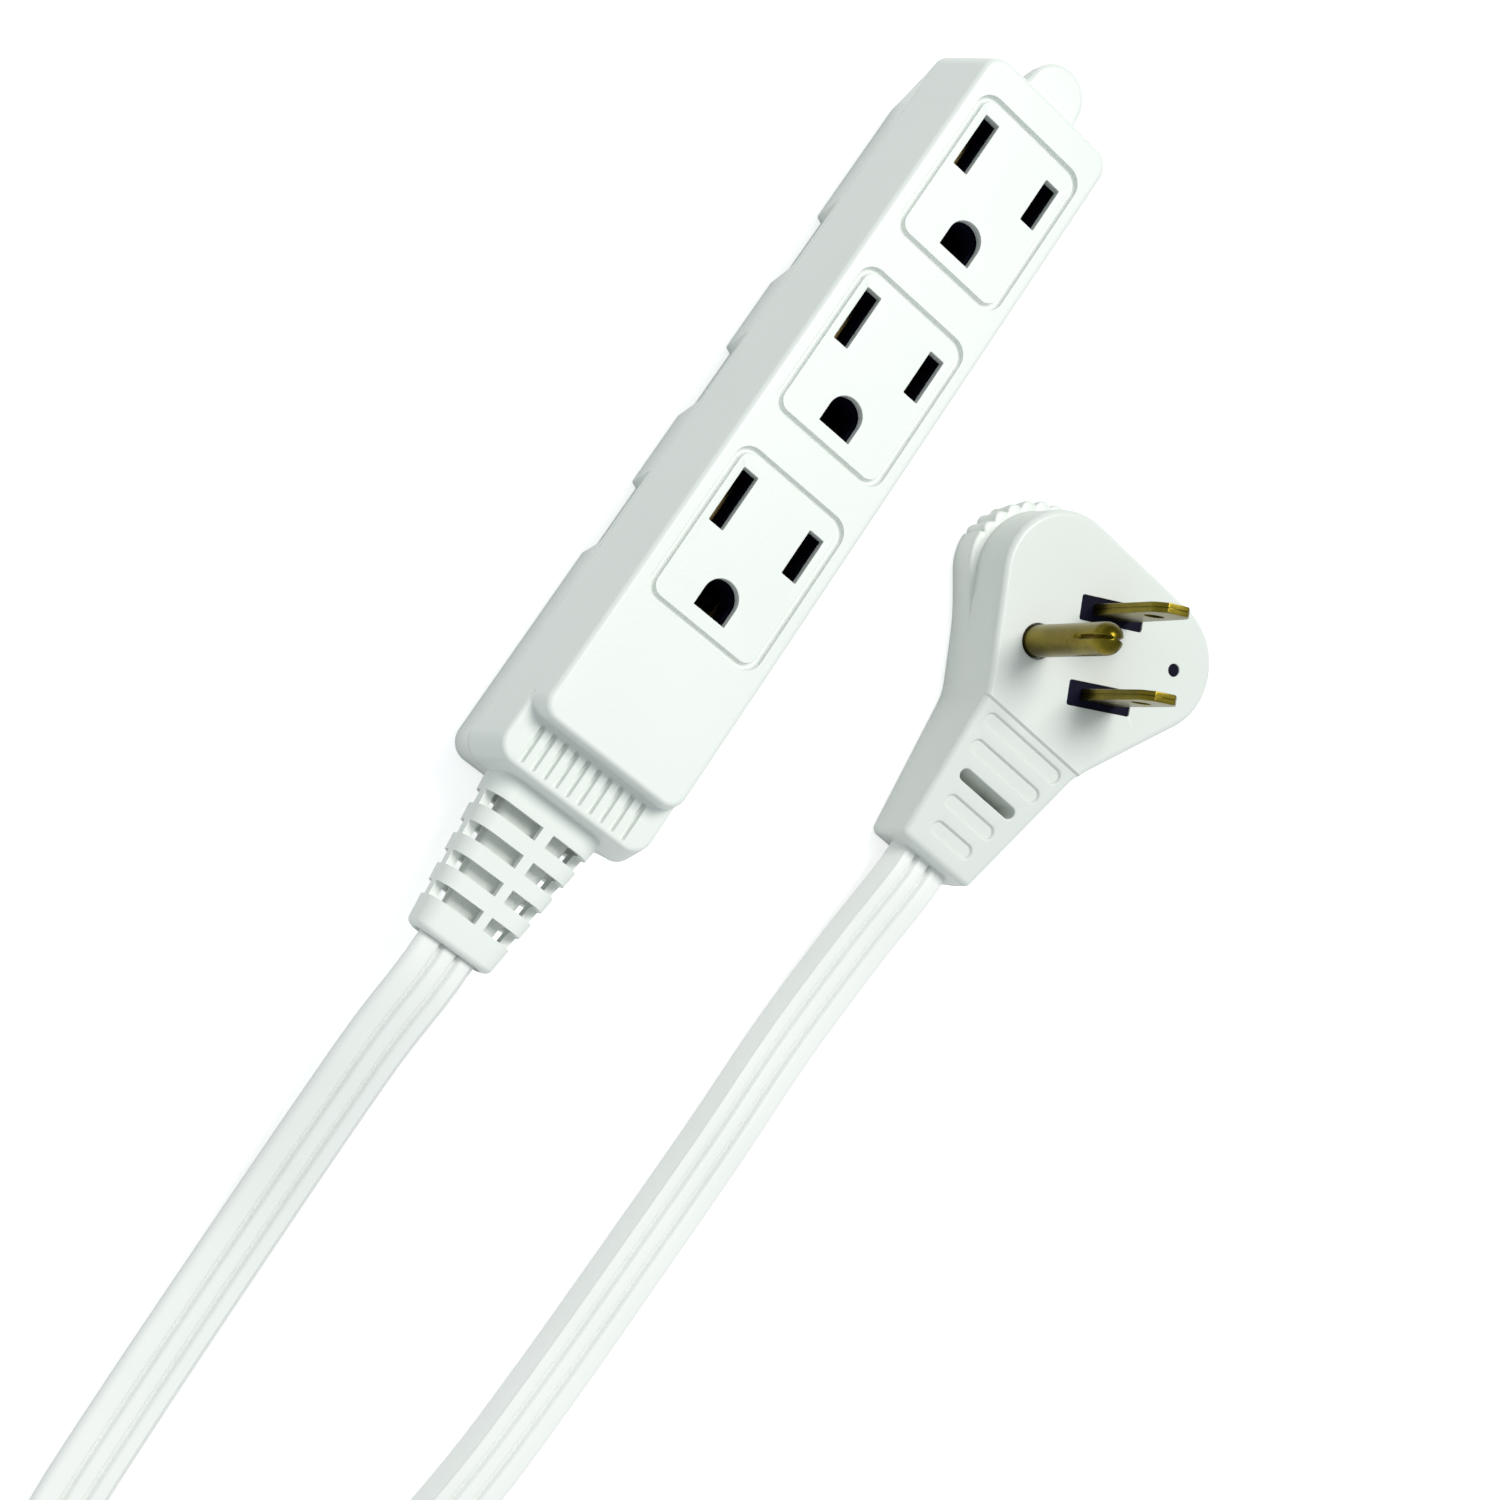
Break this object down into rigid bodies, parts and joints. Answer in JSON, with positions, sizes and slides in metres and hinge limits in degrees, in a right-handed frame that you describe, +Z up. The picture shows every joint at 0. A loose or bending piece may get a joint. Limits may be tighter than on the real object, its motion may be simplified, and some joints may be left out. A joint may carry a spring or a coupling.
{
  "type": "extension cord",
  "caption": "White grounded extension cord: long outlet block with a hanging tab and slotted strain relief, flat cord partly coiled, flat angled plug with brass prongs.",
  "frame": {"origin": "on the floor under the middle of the outlet block with its strain relief and hanging tab", "axes": "+Z up out of the outlet face, +Y along the block to its hanging tab, the cord leaves at -Y"},
  "size_m": [0.1251, 0.3838, 0.0344],
  "materials": {
    "white_abs": "satin moulded",
    "white_vinyl": "soft satin",
    "black_insulator": "satin",
    "brass": "stamped",
    "zinc_steel": "zinc plated",
    "green_insulation": "satin",
    "neutral_insulation": "satin",
    "line_insulation": "satin"
  },
  "bodies": {
    "root": {"top_cover": "white_abs", "base_shell": "white_abs", "cord_boot": "white_vinyl", "contact_carrier": "black_insulator", "neutral_bus": "brass", "line_bus": "brass", "ground_bus": "brass", "neutral_lead": "neutral_insulation", "ground_lead": "green_insulation", "line_lead": "line_insulation", "neutral_terminal": "brass", "ground_terminal": "brass", "line_terminal": "brass", "case_screw_1": "zinc_steel", "case_screw_2": "zinc_steel", "case_screw_3": "zinc_steel", "cord_outlet_end": "white_vinyl", "cord_plug_end": "white_vinyl", "cord_coil": "white_vinyl", "plug_overmould": "white_vinyl", "prong_carrier": "black_insulator", "neutral_blade": "brass", "line_blade": "brass", "ground_pin": "brass", "plug_neutral_crimp": "brass", "plug_ground_crimp": "brass", "plug_line_crimp": "brass", "plug_neutral_lead": "neutral_insulation", "plug_ground_lead": "green_insulation", "plug_line_lead": "line_insulation"}
  },
  "joints": []
}
